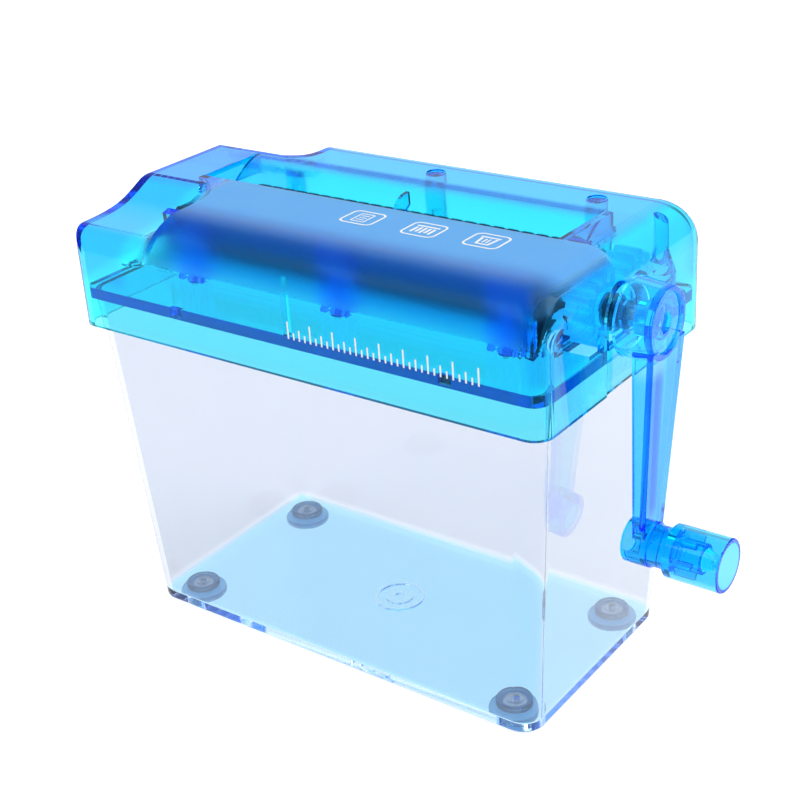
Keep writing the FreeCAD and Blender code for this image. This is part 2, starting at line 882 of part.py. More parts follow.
def comb(name, label, back):
    """A bar along X with a finger in every gap between the discs of one roller."""
    b = body_named(name)
    s = sketch(b, name + "_bar_outline", "YZ_Plane", d.left_plate_in + 0.08)
    if back:
        rectangle(s, d.rear_y + d.disc_r + 0.6, d.rear_y + d.disc_r + 3.2, d.tray_top + 0.05, 122.5)
    else:
        rectangle(s, d.front_y - d.disc_r - 3.2, d.front_y - d.disc_r - 0.6, d.tray_top + 0.05, 122.5)
    bar = b.newObject("PartDesign::Pad", name + "_bar")
    bar.Profile = s
    bind(bar, "Length", d.right_plate_in - d.left_plate_in - 0.16)
    doc.recompute()
    first = (d.rear_first if back else d.front_first) + d.disc_pitch / 2 - 0.9
    f = sketch(b, name + "_finger_outline", "YZ_Plane", first)
    if back:
        rectangle(f, d.rear_y + d.spacer_r + 0.5, d.rear_y + d.disc_r + 1.0, 119.2, 122.5)
    else:
        rectangle(f, d.front_y - d.disc_r - 1.0, d.front_y - d.spacer_r - 0.5, 119.2, 122.5)
    finger = b.newObject("PartDesign::Pad", name + "_finger")
    finger.Profile = f
    finger.Length = 1.8
    doc.recompute()
    count = int(float(d.rear_discs if back else d.front_discs)) - 1
    row = b.newObject("PartDesign::LinearPattern", name + "_fingers")
    row.Originals = [finger]
    row.Direction = (f, ["N_Axis"])
    bind(row, "Length", d.disc_pitch * (count - 1))
    row.Occurrences = count
    b.Tip = row
    doc.recompute()
    piece(b, label)


comb("FrontComb", "front_stripper_comb", False)
comb("RearComb", "rear_stripper_comb", True)

# ---------------------------------------------------------------- rollers


def row_of(name, unit, places):
    """Separate copies of unit, moved along X."""
    doc.recompute()
    o = doc.addObject("Part::Feature", name)
    copies = []
    for x in places:
        c = unit.Shape.copy()
        c.translate(V(x, 0, 0))
        copies.append(c)
    o.Shape = Part.makeCompound(copies)
    o.Placement = FreeCAD.Placement()
    return o


def roller(tag, y, first, count, shaft_right):
    first, count = float(first), int(float(count))
    pitch = float(d.disc_pitch)
    bar = hexagon(tag + "_bar", d.hex_af, d.shaft_left, shaft_right, y, d.axis_z)
    grooves = []
    for side, x in (("left", d.clip_left_x), ("right", d.clip_right_x)):
        grooves.append(
            cut(
                tag + "_groove_" + side,
                rod(tag + "_groove_out_" + side, 5.0, x - 0.05, x + d.clip_thick + 0.05, y, d.axis_z),
                rod(tag + "_groove_in_" + side, d.groove_r, x - 1, x + d.clip_thick + 1, y, d.axis_z),
            )
        )
    shaft = cut(tag + "Shaft", bar, fuse(tag + "_grooves", grooves))
    piece(shaft, tag + "_cutter_shaft")

    blank = rod(tag + "_disc_blank", d.disc_r, -d.disc_thick / 2, d.disc_thick / 2, y, d.axis_z)
    blank = rounded(
        tag + "_disc_edge", blank, lambda e: 0.12 if e.Curve.TypeId == "Part::GeomCircle" else 0
    )
    disc = cut(
        tag + "_disc", blank, hexagon(tag + "_disc_bore", d.hex_bore_af, -5, 5, y, d.axis_z)
    )
    places = [first + pitch * k for k in range(count)]
    piece(row_of(tag + "Discs", disc, places), tag + "_cutter_discs")

    gap = d.disc_pitch - d.disc_thick - 2 * d.spacer_gap
    ring = cut(
        tag + "_spacer",
        rod(tag + "_spacer_blank", d.spacer_r, -gap / 2, gap / 2, y, d.axis_z),
        hexagon(tag + "_spacer_bore", d.hex_bore_af, -5, 5, y, d.axis_z),
    )
    inner = row_of(tag + "Spacers", ring, [x + pitch / 2 for x in places[:-1]])
    last = places[-1] + float(d.disc_thick) / 2 + float(d.spacer_gap)
    left = places[0] - float(d.disc_thick) / 2 - float(d.spacer_gap)
    ends = []
    for k, (x0, x1) in enumerate(((-d.stack_end, Size(left)), (Size(last), d.stack_end))):
        ends.append(
            cut(
                tag + "_end_spacer%d" % k,
                rod(tag + "_end_spacer_blank%d" % k, d.spacer_r, x0, x1, y, d.axis_z),
                hexagon(tag + "_end_spacer_bore%d" % k, d.hex_bore_af, x0 - 1, x1 + 1, y, d.axis_z),
            )
        )
    piece(bundle(tag + "SpacerSet", [inner] + ends), tag + "_spacers")

    bushes = []
    for side, x0, x1, f0, f1 in (
        ("left", d.left_plate_out - 0.5, d.left_plate_in + 1.55, d.left_plate_in + 0.15, d.left_plate_in + 1.55),
        ("right", d.right_plate_in - 1.55, d.right_plate_out + 0.5, d.right_plate_in - 1.55, d.right_plate_in - 0.15),
    ):
        sleeve = rod(tag + "_bush_" + side, d.bush_r, x0, x1, y, d.axis_z)
        collar = rod(tag + "_bush_collar_" + side, d.bush_flange_r, f0, f1, y, d.axis_z)
        bushes.append(
            cut(
                tag + "_bush_cut_" + side,
                fuse(tag + "_bush_blank_" + side, [sleeve, collar]),
                hexagon(tag + "_bush_bore_" + side, d.hex_bore_af, x0 - 1, x1 + 1, y, d.axis_z),
            )
        )
    piece(bundle(tag + "Bushes", bushes), tag + "_shaft_bushes")

    clips = []
    for side, x in (("left", d.clip_left_x), ("right", d.clip_right_x)):
        ring = cut(
            tag + "_clip_ring_" + side,
            rod(tag + "_clip_out_" + side, d.clip_r, x, x + d.clip_thick, y, d.axis_z),
            rod(tag + "_clip_in_" + side, d.clip_bore_r, x - 1, x + d.clip_thick + 1, y, d.axis_z),
        )
        mouth = box(
            tag + "_clip_mouth_" + side, x - 1, x + d.clip_thick + 1, y - 1.7, y + 1.7, d.axis_z - 8, d.axis_z
        )
        clips.append(cut(tag + "_clip_" + side, ring, mouth))
    piece(bundle(tag + "Clips", clips), tag + "_shaft_clips")


roller("front", d.front_y, d.front_first, d.front_discs, d.front_shaft_right)
roller("rear", d.rear_y, d.rear_first, d.rear_discs, d.rear_shaft_right)

# the black bush that the crank end of the front shaft turns in
crank_bush = cut(
    "CrankBush",
    fuse(
        "crank_bush_blank",
        [
            rod("crank_bush_sleeve", d.bush_r, 81.0, 87.0, d.front_y, d.axis_z),
            rod("crank_bush_collar", d.bush_flange_r, 81.0, d.tongue_in - 0.25, d.front_y, d.axis_z),
        ],
    ),
    hexagon("crank_bush_bore", d.hex_bore_af, 80, 89, d.front_y, d.axis_z),
)
piece(crank_bush, "crank_bush")

# ---------------------------------------------------------------- gears


def gear_wire(turn):
    """A spur gear's outline in Y and Z about the origin, with involute flanks."""
    n = int(float(d.gear_teeth))
    r = float(d.gear_module) * n / 2
    tip = r + 0.88 * float(d.gear_module)
    root = r - 1.2 * float(d.gear_module)
    press = math.radians(24)
    base = r * math.cos(press)
    inv = lambda a: math.tan(a) - a
    half_at_pitch = math.pi / (2 * n) - 0.22 / (2 * r)

    def half(rho):
        if rho <= base:
            return half_at_pitch + inv(press)
        return half_at_pitch + inv(press) - inv(math.acos(base / rho))

    def at(rho, a):
        return V(0, rho * math.cos(a), rho * math.sin(a))

    start = max(root, base)
    rhos = [start + (tip - start) * k / 6 for k in range(7)]
    edges = []
    step = 2 * math.pi / n
    for k in range(n):
        mid = turn + k * step
        first = [at(root, mid - half(root))] if root < base - 0.05 else []
        rise = [at(q, mid - half(q)) for q in rhos]
        fall = [at(q, mid + half(q)) for q in reversed(rhos)]
        if first:
            edges.append(Part.makeLine(first[0], rise[0]))
        up = Part.BSplineCurve()
        up.interpolate(rise)
        edges.append(up.toShape())
        edges.append(Part.Arc(rise[-1], at(tip, mid), fall[0]).toShape())
        down = Part.BSplineCurve()
        down.interpolate(fall)
        edges.append(down.toShape())
        low = at(root, mid + half(root))
        if first:
            edges.append(Part.makeLine(fall[-1], low))
        nxt = at(root, mid + step - half(root))
        edges.append(Part.Arc(low, at(root, mid + step / 2), nxt).toShape())
    return Part.Wire(edges)


def gear(name, label, y, turn):
    o = doc.addObject("Part::Feature", name + "_blank")
    o.Shape = Part.Face(gear_wire(turn)).extrude(V(float(d.gear_wide), 0, 0))
    put(o, d.gear_left, y, d.axis_z)
    right = d.gear_left + d.gear_wide
    # both faces are hollowed between the hub and the rim
    dishes = []
    for side, x0, x1 in (("left", d.gear_left - 1, d.gear_left + 1.2), ("right", right - 1.2, right + 1)):
        dishes.append(
            cut(
                name + "_dish_" + side,
                rod(name + "_dish_out_" + side, 6.2, x0, x1, y, d.axis_z),
                rod(name + "_dish_in_" + side, 4.2, x0 - 1, x1 + 1, y, d.axis_z),
            )
        )
    bore = hexagon(name + "_bore", d.hex_bore_af, d.gear_left - 2, right + 2, y, d.axis_z)
    piece(cut(name, o, fuse(name + "_removed", dishes + [bore])), label)


gear("DriveGear", "drive_gear", d.front_y, 0.0)
gear("DrivenGear", "driven_gear", d.rear_y, math.pi / float(d.gear_teeth))

# ---------------------------------------------------------------- crank arm
pin_z = d.axis_z - d.throw


def channel(name, z):
    """The arm's U-section at height z: a web on the outside and two flanges towards the cover."""
    low, high = float(pin_z), float(d.axis_z)
    f = (z - low) / (high - low)
    wide = 11.8 + 8.0 * f
    deep = 3.4 + 2.9 * f
    out = 95.15 + 4.3 * f
    web = float(d.arm_web)
    flange = 2.2
    y = float(d.front_y)
    p = [
        (out, -wide / 2),
        (out, wide / 2),
        (out - deep, wide / 2),
        (out - deep, wide / 2 - flange),
        (out - web, wide / 2 - flange),
        (out - web, -wide / 2 + flange),
        (out - deep, -wide / 2 + flange),
        (out - deep, -wide / 2),
    ]
    o = doc.addObject("Part::Polygon", name)
    o.Nodes = [V(x, y + dy, z) for x, dy in p]
    o.Close = True
    return o


arm = doc.addObject("Part::Loft", "arm_channel")
arm.Sections = [channel("arm_low", float(pin_z)), channel("arm_high", float(d.axis_z) - 6.0)]
arm.Solid = True
arm.Ruled = True
doc.recompute()
arm_soft = rounded(
    "arm_channel_round",
    arm,
    lambda e: 0.7
    if abs(e.Vertexes[0].Z - e.Vertexes[-1].Z) > 20 and middle(e).x > 95.9
    else 0,
)
hub = cone("hub_cup", d.hub_rear_r, d.hub_face_r, d.hub_rear, d.hub_face, d.front_y, d.axis_z)
hub_soft = rounded(
    "hub_cup_round",
    hub,
    lambda e: 0.6 if e.Curve.TypeId == "Part::GeomCircle" and near(middle(e).x, d.hub_face) else 0,
)
boss = rod("pin_boss", d.boss_r, d.boss_rear, 96.3, d.front_y, pin_z)
boss_soft = rounded(
    "pin_boss_round", boss, lambda e: 0.5 if e.Curve.TypeId == "Part::GeomCircle" else 0
)
crank = fuse("crank_outside", [hub_soft, arm_soft, boss_soft])
crank = cut(
    "crank_hollowed",
    crank,
    fuse(
        "crank_hollows",
        [
            cone("hub_hollow", d.hub_rear_r - 1.8, d.hub_face_r - 1.5, d.hub_rear - 1, d.hub_face - 2.6, d.front_y, d.axis_z),
            rod("hub_face_dish", d.hub_face_r - 1.5, d.hub_face - 0.8, d.hub_face + 2, d.front_y, d.axis_z),
            rod("boss_hollow", 4.3, d.boss_rear - 1, 93.4, d.front_y, pin_z),
        ],
    ),
)
crank = fuse(
    "crank_filled",
    [
        crank,
        rod("hub_socket", d.socket_r, d.hub_face - 7.8, d.hub_face - 1.0, d.front_y, d.axis_z),
        rod("knob_neck", d.neck_r, 95.5, d.neck_end, d.front_y, pin_z),
        rod("knob_pin", d.pin_r, d.neck_end - 0.5, d.pin_end + 0.05, d.front_y, pin_z),
        cone("pin_barb", 3.5, 2.3, d.pin_end, d.pin_end + 2.6, d.front_y, pin_z),
    ],
)
crank = cut(
    "CrankArm",
    crank,
    fuse(
        "crank_removed",
        [
            hexagon("hub_hex", d.hex_bore_af, d.hub_rear - 2, d.front_shaft_right + 0.3, d.front_y, d.axis_z),
            hexagon("hub_face_hex", 5.6, d.hub_face - 1.9, d.hub_face + 2, d.front_y, d.axis_z),
            box("pin_slot", 104.4, d.pin_end + 4, d.front_y - 0.6, d.front_y + 0.6, pin_z - 5, pin_z + 5),
        ],
    ),
)
piece(crank, "crank_arm")

# ---------------------------------------------------------------- knob
knob_cup = rounded(
    "knob_cup_round",
    rod("knob_cup", d.knob_r, d.knob_rear, d.knob_open, d.front_y, pin_z),
    lambda e: 0.5 if e.Curve.TypeId == "Part::GeomCircle" else 0,
)
knob_shell = cut(
    "knob_shell",
    knob_cup,
    rod("knob_hollow", d.knob_r - d.knob_wall, d.knob_rear + 2.2, d.knob_open + 2, d.front_y, pin_z),
)
ribs = []
for k in range(3):
    r = box(
        "knob_rib%d" % k,
        d.knob_rear + 1,
        d.knob_tube_end - 1.5,
        Size(-0.55),
        Size(0.55),
        -(d.knob_r - 0.4),
        d.knob_r - 0.4,
    )
    turned = doc.addObject("Part::Compound", "knob_rib_turned%d" % k)
    turned.Links = [r]
    turned.Placement = FreeCAD.Placement(V(0, 0, 0), FreeCAD.Rotation(V(1, 0, 0), 60.0 * k + 30))
    put(turned, 0, d.front_y, pin_z)
    ribs.append(turned)
tube = rod("knob_tube", d.knob_tube_r, d.knob_rear + 1, d.knob_tube_end, d.front_y, pin_z)
knob = cut(
    "Knob",
    fuse("knob_filled", [knob_shell, tube] + ribs),
    rod("knob_bore", d.knob_bore_r, d.knob_rear - 2, d.knob_open, d.front_y, pin_z),
)
piece(knob, "knob")

# ---------------------------------------------------------------- write the pieces
doc.recompute()
bad = [o.Name for o in doc.Objects if "Invalid" in o.State or "Error" in o.State]
if bad:
    raise RuntimeError("failed objects: " + ", ".join(bad))
for o in PIECES:
    if o.Shape.isNull() or not o.Shape.isValid() or not o.Shape.Solids:
        raise RuntimeError("bad shape: " + o.Label)
os.makedirs("parts", exist_ok=True)
for o in PIECES:
    o.Shape.exportStep("parts/%s.step" % o.Label)
    print("%-22s solids %3d  volume %10.1f" % (o.Label, len(o.Shape.Solids), o.Shape.Volume))
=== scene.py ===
"""Looks for the hand-crank paper shredder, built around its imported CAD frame. Metres, +Z up."""

import json
import math

import bmesh
import bpy
from mathutils import Matrix, Vector


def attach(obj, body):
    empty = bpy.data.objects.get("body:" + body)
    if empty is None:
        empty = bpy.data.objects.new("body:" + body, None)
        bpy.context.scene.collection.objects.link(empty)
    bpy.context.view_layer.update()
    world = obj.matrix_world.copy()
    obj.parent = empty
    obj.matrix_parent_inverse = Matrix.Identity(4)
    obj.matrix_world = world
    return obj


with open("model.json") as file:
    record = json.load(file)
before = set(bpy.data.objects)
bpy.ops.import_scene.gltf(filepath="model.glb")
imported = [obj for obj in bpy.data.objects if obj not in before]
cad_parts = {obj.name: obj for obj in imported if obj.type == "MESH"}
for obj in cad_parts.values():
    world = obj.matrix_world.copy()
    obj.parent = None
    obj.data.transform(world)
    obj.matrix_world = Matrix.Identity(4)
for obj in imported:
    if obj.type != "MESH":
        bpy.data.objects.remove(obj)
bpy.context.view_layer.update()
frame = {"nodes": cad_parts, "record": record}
nodes = frame["nodes"]
scene = bpy.context.scene

MM = 0.001
SHIFT = Vector((-16.7, 0.0, 2.0))  # from the bin's own centre, at its underside, to the frame's origin, in mm


def at(x, y, z):
    """A place given in mm from the middle of the bin's underside."""
    return (Vector((x, y, z)) + SHIFT) * MM


# ------------------------------------------------------------------ camera
def make_camera():
    azimuth, elevation, roll = (math.radians(a) for a in (37.628, 25.885, -3.728))
    back = Vector(
        (
            math.sin(azimuth) * math.cos(elevation),
            -math.cos(azimuth) * math.cos(elevation),
            math.sin(elevation),
        )
    )
    right = (-back).cross(Vector((0, 0, 1))).normalized()
    up = right.cross(-back)
    c, s = math.cos(roll), math.sin(roll)
    right, up = c * right + s * up, -s * right + c * up
    data = bpy.data.cameras.new("camera")
    data.sensor_width = 36.0
    data.lens = 68.642
    data.clip_start, data.clip_end = 0.01, 50.0
    cam = bpy.data.objects.new("camera", data)
    scene.collection.objects.link(cam)
    turn = Matrix((right, up, back)).transposed().to_4x4()
    cam.matrix_world = Matrix.Translation(at(266.525, -339.491, 284.316)) @ turn
    scene.camera = cam


make_camera()


# ------------------------------------------------------------------ light and floor
def make_stage():
    scene.view_settings.view_transform = "Standard"
    scene.view_settings.look = "None"
    scene.cycles.max_bounces = 40
    scene.cycles.transmission_bounces = 40
    scene.cycles.glossy_bounces = 40
    scene.cycles.diffuse_bounces = 4

    world = bpy.data.worlds.new("studio")
    scene.world = world
    world.use_nodes = True
    tree = world.node_tree
    tree.nodes.clear()
    out = tree.nodes.new("ShaderNodeOutputWorld")
    sky = tree.nodes.new("ShaderNodeBackground")
    coord = tree.nodes.new("ShaderNodeTexCoord")
    # the bright soft box overhead, a little to the right and behind
    overhead = tree.nodes.new("ShaderNodeVectorMath")
    overhead.operation = "DOT_PRODUCT"
    overhead.inputs[1].default_value = (0.28, 0.22, 0.934)
    ramp = tree.nodes.new("ShaderNodeValToRGB")
    tree.links.new(coord.outputs["Generated"], overhead.inputs[0])
    tree.links.new(overhead.outputs["Value"], ramp.inputs["Fac"])
    # a soft panel behind the object, which its upper faces mirror
    facing = tree.nodes.new("ShaderNodeVectorMath")
    facing.operation = "DOT_PRODUCT"
    facing.inputs[1].default_value = (-0.548, 0.712, 0.438)
    panel = tree.nodes.new("ShaderNodeMapRange")
    panel.interpolation_type = "SMOOTHSTEP"
    panel.inputs["From Min"].default_value = 0.84
    panel.inputs["From Max"].default_value = 0.96
    panel.inputs["To Max"].default_value = 0.18
    both = tree.nodes.new("ShaderNodeVectorMath")
    tree.links.new(coord.outputs["Generated"], facing.inputs[0])
    tree.links.new(facing.outputs["Value"], panel.inputs["Value"])
    tree.links.new(ramp.outputs["Color"], both.inputs[0])
    tree.links.new(panel.outputs["Result"], both.inputs[1])
    tree.links.new(both.outputs[0], sky.inputs["Color"])
    tree.links.new(sky.outputs[0], out.inputs["Surface"])
    stops = ramp.color_ramp.elements
    stops[0].position, stops[0].color = 0.0, (0.115, 0.118, 0.125, 1)
    stops[1].position, stops[1].color = 0.94, (1.0, 1.0, 1.0, 1)
    mid = stops.new(0.84)
    mid.color = (0.16, 0.162, 0.168, 1)
    sky.inputs["Strength"].default_value = 2.7

    def lamp(name, place, aim, width, height, power):
        data = bpy.data.lights.new(name, "AREA")
        data.shape = "RECTANGLE"
        data.size, data.size_y = width, height
        data.energy = power
        o = bpy.data.objects.new(name, data)
        o.location = place
        o.rotation_mode = "QUATERNION"
        o.rotation_quaternion = (Vector(aim) - Vector(place)).to_track_quat("-Z", "Y")
        scene.collection.objects.link(o)

    lamp("key", (-0.55, -0.75, 1.15), (0.0, 0.0, 0.08), 0.7, 0.5, 3.2)
    lamp("rim", (0.7, 0.75, 0.9), (0.0, 0.0, 0.1), 0.6, 0.4, 2.2)

    mesh = bpy.data.meshes.new("floor")
    half = 6.0
    mesh.from_pydata(
        [(-half, -half, 0), (half, -half, 0), (half, half, 0), (-half, half, 0)], [], [(0, 1, 2, 3)]
    )
    floor = bpy.data.objects.new("floor", mesh)
    floor.location.z = -0.0002
    scene.collection.objects.link(floor)
    mat = bpy.data.materials.new("floor_paper")
    mat.use_nodes = True
    bsdf = mat.node_tree.nodes["Principled BSDF"]
    bsdf.inputs["Base Color"].default_value = (0.38, 0.381, 0.385, 1)
    bsdf.inputs["Roughness"].default_value = 0.75
    bsdf.inputs["Specular IOR Level"].default_value = 0.1
    # a light table: the paper glows a little from below
    bsdf.inputs["Emission Color"].default_value = (1.0, 1.0, 1.0, 1)
    bsdf.inputs["Emission Strength"].default_value = 0.9
    mesh.materials.append(mat)


make_stage()


# ------------------------------------------------------------------ material helpers
class Build:
    """A material and short ways to add nodes to it. Lengths in the node trees are mm of the object's own frame."""

    def __init__(self, name):
        self.mat = bpy.data.materials.new(name)
        self.mat.use_nodes = True
        self.tree = self.mat.node_tree
        self.bsdf = self.tree.nodes["Principled BSDF"]
        self.out = self.tree.nodes["Material Output"]
        self._mm = None

    def node(self, kind, **settings):
        n = self.tree.nodes.new(kind)
        for k, v in settings.items():
            setattr(n, k, v)
        return n

    def link(self, a, b):
        self.tree.links.new(a, b)

    def mm(self):
        """The place on the object in mm, from the middle of the bin's underside."""
        if self._mm is None:
            coord = self.node("ShaderNodeTexCoord")
            scale = self.node("ShaderNodeVectorMath", operation="MULTIPLY")
            scale.inputs[1].default_value = (1000.0, 1000.0, 1000.0)
            shift = self.node("ShaderNodeVectorMath", operation="SUBTRACT")
            shift.inputs[1].default_value = SHIFT
            self.link(coord.outputs["Object"], scale.inputs[0])
            self.link(scale.outputs[0], shift.inputs[0])
            self._mm = shift.outputs[0]
        return self._mm

    def axis(self, name):
        n = self.node("ShaderNodeSeparateXYZ")
        self.link(self.mm(), n.inputs[0])
        return n.outputs[name]

    def math(self, op, a, b=None, c=None, clamp=False):
        n = self.node("ShaderNodeMath", operation=op, use_clamp=clamp)
        for socket, v in zip(n.inputs, (a, b, c)):
            if v is None:
                continue
            if isinstance(v, (int, float)):
                socket.default_value = v
            else:
                self.link(v, socket)
        return n.outputs[0]

    def step(self, value, low, high):
        """0 below low, 1 above high, smooth between. low above high turns it round."""
        n = self.node("ShaderNodeMapRange", interpolation_type="SMOOTHSTEP")
        self.link(value, n.inputs["Value"])
        flip = low > high
        n.inputs["From Min"].default_value = min(low, high)
        n.inputs["From Max"].default_value = max(low, high)
        n.inputs["To Min"].default_value = 1.0 if flip else 0.0
        n.inputs["To Max"].default_value = 0.0 if flip else 1.0
        return n.outputs["Result"]

    def range(self, value, low, high):
        n = self.node("ShaderNodeMapRange")
        self.link(value, n.inputs["Value"])
        n.inputs["To Min"].default_value = low
        n.inputs["To Max"].default_value = high
        return n.outputs["Result"]

    def noise(self, scale, detail=3.0, rough=0.5, stretch=(1, 1, 1)):
        """Noise whose features are about scale mm across."""
        m = self.node("ShaderNodeMapping")
        m.inputs["Scale"].default_value = tuple(s / scale for s in stretch)
        self.link(self.mm(), m.inputs["Vector"])
        n = self.node("ShaderNodeTexNoise")
        n.inputs["Scale"].default_value = 1.0
        n.inputs["Detail"].default_value = detail
        n.inputs["Roughness"].default_value = rough
        self.link(m.outputs[0], n.inputs["Vector"])
        return n.outputs["Fac"]

    def mix(self, fac, a, b):
        """Between two colours or numbers by fac."""
        numbers = isinstance(a, (int, float))
        n = self.node("ShaderNodeMix", data_type="FLOAT" if numbers else "RGBA")
        ins = [s for s in n.inputs if s.enabled]
        self.link(fac, ins[0])
        for socket, v in zip(ins[1:3], (a, b)):
            if hasattr(v, "is_output"):
                self.link(v, socket)
            else:
                socket.default_value = v if numbers else (*v[:3], 1.0)
        return next(s for s in n.outputs if s.enabled)

    def set(self, socket, value):
        s = self.bsdf.inputs[socket]
        if hasattr(value, "is_output"):
            self.link(value, s)
        else:
            s.default_value = value

    def bump(self, height, strength, distance_mm):
        n = self.node("ShaderNodeBump")
        n.inputs["Strength"].default_value = strength
        n.inputs["Distance"].default_value = distance_mm * MM
        self.link(height, n.inputs["Height"])
        self.link(n.outputs[0], self.bsdf.inputs["Normal"])

    def absorb(self, colour, density):
        v = self.node("ShaderNodeVolumeAbsorption")
        v.inputs["Color"].default_value = (*colour, 1.0)
        v.inputs["Density"].default_value = density
        self.link(v.outputs[0], self.out.inputs["Volume"])


def blue_plastic(name, density=300.0, colour=(0.05, 0.92, 0.998), tint=(0.35, 0.945, 1.0)):
    """Transparent blue polystyrene: tinted by depth, faintly wavy, with fine moulding haze."""
    b = Build(name)
    b.set("Transmission Weight", 1.0)
    b.set("IOR", 1.42)
    b.set("Specular IOR Level", 0.5)
    b.set("Specular Tint", (0.30, 0.62, 0.95, 1.0))
    b.haze = b.noise(9.0, 4.0, 0.6)
    b.rough = b.range(b.haze, 0.015, 0.05)
    b.shade = b.mix(b.noise(23.0), tuple(0.97 * c for c in tint), tint)
    b.bump(b.noise(14.0, 2.0), 0.06, 0.5)
    b.absorb(colour, density)
    return b


def close(b):
    b.set("Roughness", b.rough)
    b.set("Base Color", b.shade)
    return b.mat


def cover_plastic(name):
    """The cover: its barrel is frosted and tinted deeper blue, partly as painted shade of the drum behind it; its
    slot's back a little hazy; its ends and posts deeper in colour, the posts glowing a little with painted light; its
    flat top tinted a deeper lavender blue, a painted sheen of the light from above.
    """
    b = blue_plastic(name)
    b.set("Specular Tint", (0.12, 0.48, 0.95, 1.0))
    x, y, z = (b.axis(a) for a in "XYZ")
    b.shade = b.mix(b.step(z, 115.5, 113.5), b.shade, (0.35, 0.97, 1.0))
    near = 0.0
    for middle in (-54.5, 2.2, 60.1):
        near = b.math("MAXIMUM", near, b.step(b.math("ABSOLUTE", b.math("SUBTRACT", x, middle)), 5.5, 5.0))
    posts = b.math("MULTIPLY", b.step(y, -25.6, -25.1), b.step(y, -18.9, -19.2))
    posts = b.math("MULTIPLY", b.math("MULTIPLY", posts, near), b.step(z, 137.5, 136.5))
    b.shade = b.mix(posts, b.shade, (0.15, 0.55, 1.0))
    # painted light: the posts glow a little, over their deeper blue
    b.set("Emission Color", (0.0, 0.12, 0.9, 1.0))
    b.set("Emission Strength", b.mix(posts, 0.0, 0.11))
    slot = b.math("MULTIPLY", b.step(y, 4.0, 6.0), b.step(z, 132.6, 133.6))
    slot = b.math("MULTIPLY", slot, b.step(y, 27.5, 24.5))
    b.rough = b.mix(slot, b.rough, b.range(b.haze, 0.09, 0.14))
    b.shade = b.mix(slot, b.shade, (0.35, 0.84, 1.0))
    ends = b.math("MAXIMUM", b.step(x, -60.0, -66.0), b.step(x, 77.0, 82.0))
    ends = b.math("MULTIPLY", ends, b.step(z, 115.0, 119.0))
    b.shade = b.mix(ends, b.shade, (0.33, 0.74, 1.0))
    # painted sheen: the flat top and the slot's upper edge are tinted lavender for the light falling from above
    b.shade = b.mix(b.step(z, 138.6, 140.2), b.shade, (0.42, 0.46, 1.0))
    inside = b.math("MULTIPLY", b.step(x, -59.0, -51.0), b.step(x, 82.0, 78.0))
    mask = b.math("MULTIPLY", b.math("MULTIPLY", b.step(y, -2.2, -3.2), b.step(z, 126.6, 127.6)), inside)
    top = b.math("MULTIPLY", mask, b.step(y, -37.0, -22.0))
    # the frosted barrel and the front of the flat top are tinted deeper blue: the plastic's blue, deepened as painted
    # shade of the dark drum seen through it
    deep_tint_and_shade = b.math("MULTIPLY", mask, b.step(y, -46.0, -37.0))
    grain = b.noise(0.5, 2.0)
    b.rough = b.mix(mask, b.rough, b.mix(top, b.range(grain, 0.282, 0.30), b.range(grain, 0.50, 0.60)))
    b.shade = b.mix(deep_tint_and_shade, b.shade, b.mix(b.noise(11.0), (0.14, 0.50, 1.0), (0.18, 0.54, 1.0)))
    b.set("Transmission Weight", b.mix(top, 1.0, 0.25))
    return close(b)


def tray_plastic(name):
    """The tray: its rim on the front and right is painted a deep blue line, painted shade for the depth of colour seen
    along the plate's edge.
    """
    b = blue_plastic(name, 600.0, (0.05, 0.92, 0.999), (0.80, 0.96, 1.0))
    side = b.math("MULTIPLY", b.step(b.axis("X"), 82.5, 82.7), b.step(b.axis("X"), 82.9, 82.8))
    rim = b.math("MAXIMUM", b.step(b.axis("Y"), -42.9, -43.2), side)
    rim = b.math("MULTIPLY", rim, b.math("MULTIPLY", b.step(b.axis("Z"), 110.4, 110.6), b.step(b.axis("Z"), 114.4, 114.2)))
    # painted shade: only the rim of the front and right faces is made deep blue and less clear
    b.shade = b.mix(rim, b.shade, b.mix(b.noise(7.0), (0.03, 0.13, 0.90), (0.05, 0.16, 0.98)))
    b.set("Transmission Weight", b.mix(rim, 1.0, 0.15))
    return close(b)


def crank_plastic(name):
    """The cover's plastic again, in thicker walls."""
    b = blue_plastic(name, 550.0, (0.05, 0.86, 0.997), (0.35, 0.84, 1.0))
    # painted shade and sheen across the arm's face, from its front edge, which slopes, to its back: the edge, then a
    # half in painted shade, deeper blue, then a half in painted sheen, paler
    back = b.math("ADD", b.axis("Y"), b.math("MULTIPLY_ADD", b.axis("Z"), 0.058, 6.77))
    b.shade = b.mix(b.step(back, 2.2, 2.8), b.shade, b.mix(b.step(back, 6.0, 9.0), (0.04, 0.30, 1.0), (0.60, 0.88, 1.0)))
    grip = b.mix(b.noise(9.0), (0.48, 0.81, 1.0), (0.52, 0.85, 1.0))
    hub = b.mix(b.noise(9.0), (0.80, 0.93, 1.0), (0.86, 0.96, 1.0))
    cup = b.step(b.axis("Z"), 107.0, 113.0)
    hub = b.mix(b.step(b.axis("X"), 97.3, 97.6), hub, (0.95, 0.64, 1.0))
    b.shade = b.mix(cup, b.mix(b.step(b.axis("Z"), 60.0, 68.0), grip, b.shade), hub)
    pin = b.math("MULTIPLY", b.step(b.axis("X"), 100.8, 101.6), b.step(b.axis("Z"), 68.0, 60.0))
    b.set("Specular Tint", (0.15, 0.45, 0.95, 1.0))
    # painted light: the hub cup and the pin glow a little
    b.set("Emission Color", (0.06, 0.38, 1.0, 1.0))
    b.set("Emission Strength", b.math("MULTIPLY_ADD", pin, 0.5, b.mix(cup, 0.0, 0.13)))
    return close(b)


